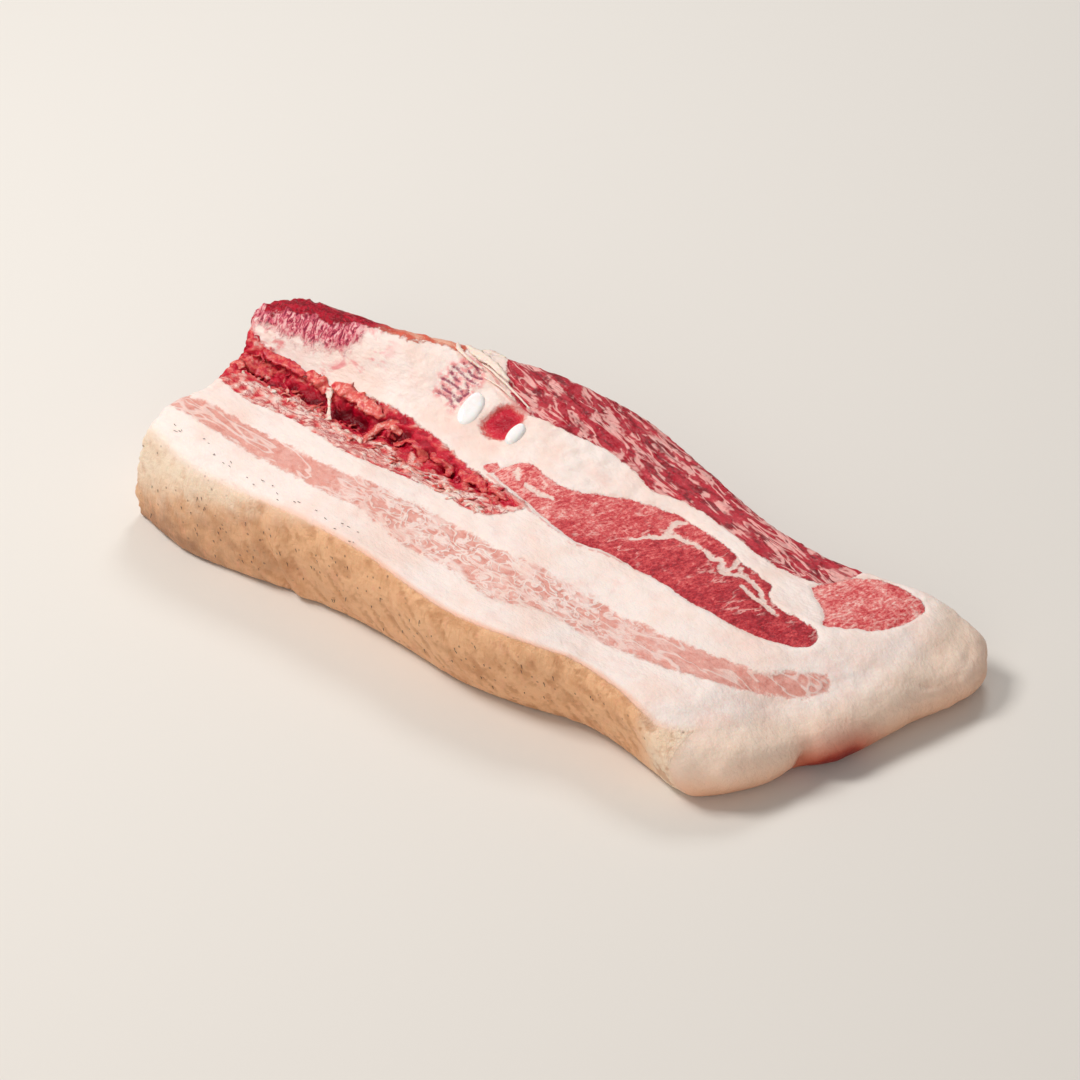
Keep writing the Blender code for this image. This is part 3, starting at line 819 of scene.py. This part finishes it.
def darkBristle():
    # Hog bristle left by scraping: horn, dark brown and slightly glossy.
    material, tree, shader = startMaterial("hog_bristle_stub", Roughness=0.45)
    look = {"root": linear("#4A3A33"), "point": linear("#6E5B50")}
    add, amount, place, grain, patches, squiggles, frayed, shades, coats, weighed = grainTools(tree, look)
    tree.links.new(shades(grain(0.8), "root", ("point", 0.4, 0.6)), shader.inputs["Base Color"])
    return material


cameraSetup = dict(azimuth=43.7, elevation=37.2, distance=0.686, focal=112.0, aim=(0.0, 0.0, 0.013))
lamps = dict(
    key=dict(azimuth=-58.0, elevation=54.0, distance=0.85, size=0.26, watts=4.5, colour="#FFFBF7"),
    fill=dict(azimuth=28.0, elevation=24.0, distance=1.00, size=0.70, watts=2.4, colour="#FFF6EC"),
    back=dict(azimuth=212.0, elevation=50.0, distance=0.90, size=0.24, watts=1.9, colour="#FFFFFF"),
)
worldLight = dict(colour="#FFFDFB", strength=0.27)
floorLook = dict(colour="#E6E2DC", size=3.0)


def around(azimuth, elevation, distance, centre):
    a, e = math.radians(azimuth), math.radians(elevation)
    away = Vector((math.sin(a) * math.cos(e), -math.cos(a) * math.cos(e), math.sin(e)))
    return centre + away * distance


def aimed(thing, place, centre):
    thing.location = place
    thing.rotation_euler = (centre - place).to_track_quat("-Z", "Y").to_euler()
    bpy.context.scene.collection.objects.link(thing)


def buildStage():
    scene = bpy.context.scene
    centre = Vector(cameraSetup["aim"])
    camera = bpy.data.cameras.new("camera")
    camera.lens = cameraSetup["focal"]
    camera.clip_start = 0.01
    cameraObject = bpy.data.objects.new("camera", camera)
    aimed(cameraObject, around(cameraSetup["azimuth"], cameraSetup["elevation"], cameraSetup["distance"], centre),
          centre)
    scene.camera = cameraObject
    for name, setup in lamps.items():
        lamp = bpy.data.lights.new(name, "AREA")
        lamp.size = setup["size"]
        lamp.energy = setup["watts"]
        lamp.color = linear(setup["colour"])[:3]
        aimed(bpy.data.objects.new(name, lamp),
              around(setup["azimuth"], setup["elevation"], setup["distance"], centre), centre)
    world = bpy.data.worlds.new("studio")
    scene.world = world
    world.use_nodes = True
    background = world.node_tree.nodes["Background"]
    background.inputs["Color"].default_value = linear(worldLight["colour"])
    background.inputs["Strength"].default_value = worldLight["strength"]
    scene.view_settings.view_transform = "Standard"

    board = bmesh.new()
    bmesh.ops.create_grid(board, x_segments=1, y_segments=1, size=floorLook["size"] / 2)
    mesh = bpy.data.meshes.new("floor")
    board.to_mesh(mesh)
    board.free()
    material, tree, shader = startMaterial("matt_pale_board", Roughness=0.8)  # painted board, flat and matt
    shader.inputs["Base Color"].default_value = linear(floorLook["colour"])
    floor = bpy.data.objects.new("floor", mesh)
    mesh.materials.append(material)
    floor.location.z = cadBox[0].z - 0.0002
    scene.collection.objects.link(floor)


# in mm, apart from easing: face size, height of the crown, and how uneven the sides are
cartilageShape = dict(voxel=0.35, easing=4, crown=0.15, swell=0.18, swellSize=3.0, halfWidth=2.5)


def makeCartilage(node, material):
    # the CAD rod, its head crowned and its sides a little uneven
    shape = cartilageShape
    mesh = evenSkin(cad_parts[node].data.copy(), shape["voxel"])
    coords = ease(coordsOf(mesh), edgesOf(mesh), shape["easing"])
    low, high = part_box(node)
    middle = (low + high) / 2
    away = np.hypot((coords[:, 0] - middle.x) / (high.x - low.x), (coords[:, 1] - middle.y) / (high.y - low.y)) * 2
    top = coords[:, 2] > middle.z
    coords[:, 2] += top * shape["crown"] * mm * (1.0 - np.clip(away, 0, 1) ** 2)
    swell = sample(toPlan(coords), shape["swellSize"], softNoise, 61.0) * shape["swell"] / shape["halfWidth"]
    coords[:, :2] += (coords[:, :2] - np.array(middle)[:2]) * swell[:, None]
    setCoords(mesh, insideBox(coords))
    keep(mesh, rim=0.6 * smooth(0.97, 1.06, away) * top)
    mesh.name = node + "_wet"
    return newPiece(node + "_wet", mesh, material)


def surfaceAt(tree, x, y):
    # height of the finished meat at a place in the plan, in mm
    hit = tree.ray_cast(toWorld(x, y, outside), Vector((0, 0, -1)))[0]
    return (hit.z - corner.z) / mm if hit is not None else 10.0


# fray and bulge: how uneven a strip's width and thickness are, as a share
shredShape = dict(sides=8, frayBroad=0.55, frayFine=0.40, bulge=0.35)


class Shreds:
    # many thin strips of flesh gathered in one mesh
    def __init__(self, tree):
        self.tree = tree
        self.verts, self.faces, self.tones = [], [], []

    def strip(self, path, widths, thick, tone, roll=0.0, steps=9):
        # path holds x, y and the height above the flesh; widths run along it
        line = curveThrough(path, steps, False)
        count = len(line)
        wide = np.interp(np.linspace(0, 1, count), np.linspace(0, 1, len(widths)), widths)
        root = surfaceAt(self.tree, *path[0][:2])  # a strip half follows the flesh, half bridges its dips
        points = np.array([(x, y, surfaceAt(self.tree, x, y) * 0.55 + 0.45 * root + rise) for x, y, rise in line])
        first = len(self.verts)
        sides = shredShape["sides"]
        turn = math.radians(roll)
        for index in range(count):
            ahead = Vector(points[min(index + 1, count - 1)] - points[max(index - 1, 0)])
            across = ahead.cross(Vector((0, 0, 1))).normalized()
            over = across.cross(ahead).normalized()
            across, over = (across * math.cos(turn) + over * math.sin(turn),
                            over * math.cos(turn) - across * math.sin(turn))
            for side in range(sides):
                angle = 2 * math.pi * side / sides
                spot = Vector(points[index]) + Vector((math.cos(angle), math.sin(angle), 0)) * 2.0
                fray = 1.0 + shredShape["frayBroad"] * noise.noise(spot * 0.9)
                fray += shredShape["frayFine"] * noise.noise(spot * 2.3)
                bulge = shredShape["bulge"] * thick * noise.noise(spot * 1.7 + Vector((5, 0, 0)))
                place = (Vector(points[index]) + across * (math.cos(angle) * wide[index] * 0.5 * fray)
                         + over * (math.sin(angle) * thick * 0.5 + bulge))
                self.verts.append(tuple(toWorld(*place)))
                # painted light and shade: each strip is paler on its upper side and redder on its underside
                self.tones.append(tone + 0.10 * math.sin(angle))
        for index in range(count - 1):
            for side in range(sides):
                a = first + index * sides + side
                b = first + index * sides + (side + 1) % sides
                self.faces.append((a, b, b + sides, a + sides))
        self.faces.append(tuple(first + side for side in reversed(range(sides))))
        self.faces.append(tuple(first + (count - 1) * sides + side for side in range(sides)))

    def finish(self, name, material):
        mesh = bpy.data.meshes.new(name)
        mesh.from_pydata(insideBox(np.array(self.verts)).tolist(), [], self.faces)
        keep(mesh, tone=np.array(self.tones))
        return newPiece(name, mesh, material)


# path of x, y, rise above the flesh; widths; thickness; tone from 0 deep red to 1 cream; roll in degrees
lips = [
    ([(16.6, 37.8, 0.1), (19, 35.4, 0.8), (21.6, 32.8, 0.8), (24.4, 30, 0.0)], (2.4, 0.9, 0.6, 1.6), 0.35, 0.82, 0),
    ([(16.8, 38.8, 0.0), (20, 38.4, 0.4), (24, 38.6, 0.5), (28, 38.4, 0.4), (32, 38, 0.0)], (1.5, 3.6, 3.0, 3.8, 1.5),
     0.45, 0.42, -22),
    ([(37.6, 38.8, 0.0), (34.8, 38.4, 0.5), (33, 36.4, 0.6), (33.2, 33, 0.4), (34.6, 30.4, 0.0)],
     (2.4, 3.2, 2.0, 1.4, 0.7), 0.3, 0.44, 12),
    ([(37.4, 36.2, 0.0), (39.6, 38.4, 0.4), (43, 38.6, 0.4), (45.8, 36.8, 0.3), (46, 34, 0.0)],
     (1.8, 3.2, 3.6, 2.6, 1.0), 0.4, 0.34, 10),
    ([(47, 38.8, 0.0), (49.6, 37.4, 0.5), (52.4, 37.8, 0.5), (54, 35.4, 0.0)], (1.4, 2.8, 2.6, 1.2), 0.4, 0.34, 15),
    ([(55, 38.4, 0.0), (58, 37.4, 0.4), (61, 37.8, 0.4), (64, 36.6, 0.0)], (1.2, 2.6, 2.6, 1.2), 0.4, 0.30, -12),
    ([(64.5, 37.6, 0.0), (67, 36.8, 0.4), (70, 37, 0.0)], (1.2, 2.2, 1.2), 0.4, 0.38, 8),
    ([(10.4, 38.2, 0.0), (12.4, 37.2, 0.5), (15, 37.2, 0.5), (16.6, 36.2, 0.0)], (2.0, 3.4, 3.0, 1.4), 0.5, 0.38,
     -10),
    ([(-1.5, 36, 0.0), (2, 36, 0.3), (6, 36.6, 0.3), (10, 36.6, 0.0)], (1.8, 3.0, 2.6, 1.4), 0.4, 0.26, -14),
    ([(3.6, 33.4, -0.1), (0, 32.8, 0.5), (-3.4, 31.6, 0.9), (-6.4, 31, 1.1), (-9.0, 31.4, 1.2)],
     (4.4, 5.0, 4.4, 3.0, 1.0), 0.5, 0.30, 14),
    ([(-1, 28.6, 0.0), (-3.4, 29, 0.4), (-6, 30, 0.7)], (2.6, 2.6, 0.8), 0.4, 0.42, 16),
    ([(26, 29.6, 0.0), (29, 28.4, 0.3), (32.4, 29, 0.0)], (1.0, 2.0, 1.0), 0.3, 0.66, 0),
    ([(44, 31.4, 0.0), (47, 30.6, 0.3), (50.4, 31.6, 0.0)], (1.0, 2.2, 1.0), 0.3, 0.64, 6),
    ([(56, 32.4, 0.0), (59, 31.4, 0.3), (63, 32.2, 0.0)], (1.0, 2.0, 1.0), 0.3, 0.62, 6),
]


# small curls strewn along the tear: where they start and end, half length and width in mm
curls = dict(count=150, seed=7, ends=(-5.0, 70.0), low=27.0, high=37.5, reach=(0.6, 1.5), wide=(0.5, 1.5), thick=0.22)


def makeShreds(tree, material):
    # the larger lips one by one, then the curls, paler down the slope
    shreds = Shreds(tree)
    for path, widths, thick, tone, roll in lips:
        shreds.strip(path, widths, thick, tone, roll)
    rng = random.Random(curls["seed"])
    for _ in range(curls["count"]):
        x = rng.uniform(*curls["ends"])
        across = rng.random()
        y = curls["low"] + (curls["high"] - curls["low"]) * across + 0.02 * x
        turn = rng.uniform(-0.9, 0.9) + (math.pi / 2 if rng.random() < 0.4 else 0.0)
        reach = rng.uniform(*curls["reach"])
        dx, dy = math.cos(turn) * reach, math.sin(turn) * reach
        bow = rng.uniform(-0.6, 0.6)
        path = [(x - dx, y - dy, -0.2), (x - dy * bow, y + dx * bow, rng.uniform(0.0, 0.22)), (x + dx, y + dy, -0.2)]
        tone = min(max(0.70 - 0.66 * across + rng.uniform(-0.20, 0.20), 0.05), 0.8)
        wide = rng.uniform(*curls["wide"])
        shreds.strip(path, (wide * 0.3, wide, wide * 0.3), curls["thick"], tone, rng.uniform(-40, 40), 5)
    return shreds.finish("torn_shreds", material)


# the same five values as a lip
wedge = [
    ([(32.6, 60.4, 0.1), (35, 58.6, 0.6), (38, 57.8, 0.6), (42.5, 58, 0.1)], (0.5, 1.3, 1.0, 0.5), 0.4, 0.88, 10),
    ([(34, 61.6, 0.1), (38, 60.6, 0.5), (43, 60.4, 0.5), (48.6, 59.6, 0.1)], (0.6, 2.2, 2.0, 0.6), 0.4, 0.95, -8),
    ([(41, 59.4, 0.1), (46, 58.8, 0.45), (51, 58, 0.45), (57.4, 56.6, 0.1)], (0.4, 0.6, 0.5, 0.35), 0.3, 0.98, 0),
    ([(36, 63.4, 0.1), (39, 64, 0.5), (42, 65.4, 0.1)], (0.6, 2.0, 0.6), 0.4, 0.92, 0),
    ([(43.4, 57.2, 0.1), (48, 57.3, 0.4), (52, 57, 0.1)], (0.35, 0.5, 0.35), 0.3, 0.90, 0),
]


def makeMembrane(tree, material):
    # a loose wedge of thin skin between the raised muscle and the rib side muscle, with two strings
    shreds = Shreds(tree)
    for path, widths, thick, tone, roll in wedge:
        shreds.strip(path, widths, thick, tone, roll)
    return shreds.finish("loose_membrane", material)


# bristle stubs in mm; the first onFat of them stand where the rind meets the fat
bristles = dict(count=90, seed=3, onFat=27, crowded=45, long=(0.4, 1.1), root=0.10, point=0.04, sides=5)


def makeBristles(tree, material):
    # stubs about 1 mm long, leaning to the right, thickest where the rind meets the fat
    rng = random.Random(bristles["seed"])
    hairs = bmesh.new()
    for index in range(bristles["count"]):
        x = rng.uniform(4.0, 62.0) if index < bristles["crowded"] else rng.uniform(2.0, 124.0)
        level = rng.uniform(3.0, 21.0 - x * 0.06)
        hit, normal, _, _ = tree.ray_cast(toWorld(x, -outside, level), Vector((0, 1, 0)))
        if index < bristles["onFat"]:
            rimY = 1.4 + 0.05 * x + 3.6 * rng.random()
            hit, normal, _, _ = tree.ray_cast(toWorld(x, rimY, outside), Vector((0, 0, -1)))
        if hit is None:
            continue
        aside = Vector((rng.uniform(0.3, 1.0), rng.uniform(-0.2, 0.2), rng.uniform(-0.7, -0.1)))
        lean = (normal * 0.5 + aside).normalized()
        long = rng.uniform(*bristles["long"]) * mm
        made = bmesh.ops.create_cone(hairs, cap_ends=True, segments=bristles["sides"],
                                     radius1=bristles["root"] * mm, radius2=bristles["point"] * mm, depth=long)
        spin = lean.to_track_quat("Z", "Y").to_matrix()
        for vertex in made["verts"]:
            spot = hit + lean * (long * 0.36) + spin @ vertex.co
            vertex.co = Vector(insideBox(np.array(spot)).tolist())
    mesh = bpy.data.meshes.new("bristle_stubs")
    hairs.to_mesh(mesh)
    hairs.free()
    return newPiece("bristle_stubs", mesh, material)


def settle(piece, node=None):
    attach(piece, "root")
    if node:
        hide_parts(node)


buildStage()
print("stage ready")
meat, meatTree = makeMeat(rawBelly())
settle(meat, "belly_meat")
print("meat ready")
flesh = tornShred()
settle(makeShreds(meatTree, flesh))
settle(makeMembrane(meatTree, flesh))
settle(makeBristles(meatTree, darkBristle()))
print("shreds, membrane and bristles ready")
cartilageMaterial = wetCartilage()
for node in ("cartilage_large", "cartilage_small"):
    settle(makeCartilage(node, cartilageMaterial), node)
print("cartilages ready")
